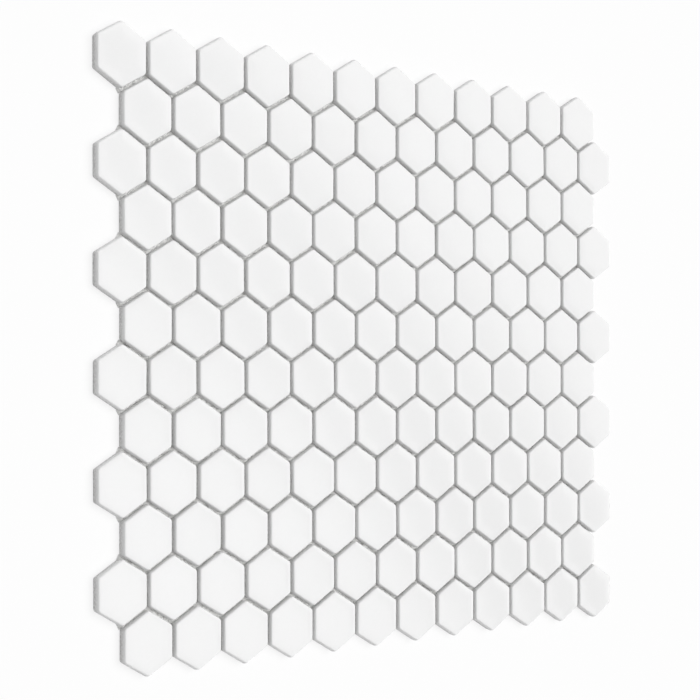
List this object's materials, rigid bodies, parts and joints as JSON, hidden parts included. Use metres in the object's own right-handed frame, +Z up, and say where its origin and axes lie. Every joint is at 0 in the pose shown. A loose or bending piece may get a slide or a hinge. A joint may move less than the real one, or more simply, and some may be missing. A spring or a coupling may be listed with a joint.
{
  "type": "hexagon mosaic tile sheet",
  "caption": "Flat sheet of small matte white porcelain hexagon tiles held by a glass-fibre net, with open joints for grout, for tiling floors and walls.",
  "frame": {"origin": "middle of the sheet's underside, on the plane that its net rests on", "axes": "+X along the tile rows to the right, +Y towards the top row, +Z up out of the tile faces"},
  "size_m": [0.3114, 0.2656, 0.0054],
  "materials": {
    "porcelain": "matte",
    "net": "matte"
  },
  "bodies": {
    "root": {"tile_row_01": "porcelain", "tile_row_02": "porcelain", "tile_row_03": "porcelain", "tile_row_04": "porcelain", "tile_row_05": "porcelain", "tile_row_06": "porcelain", "tile_row_07": "porcelain", "tile_row_08": "porcelain", "tile_row_09": "porcelain", "tile_row_10": "porcelain", "tile_row_11": "porcelain", "tile_row_12": "porcelain", "mesh_crosswise_threads": "net", "mesh_lengthwise_threads": "net"}
  },
  "joints": []
}
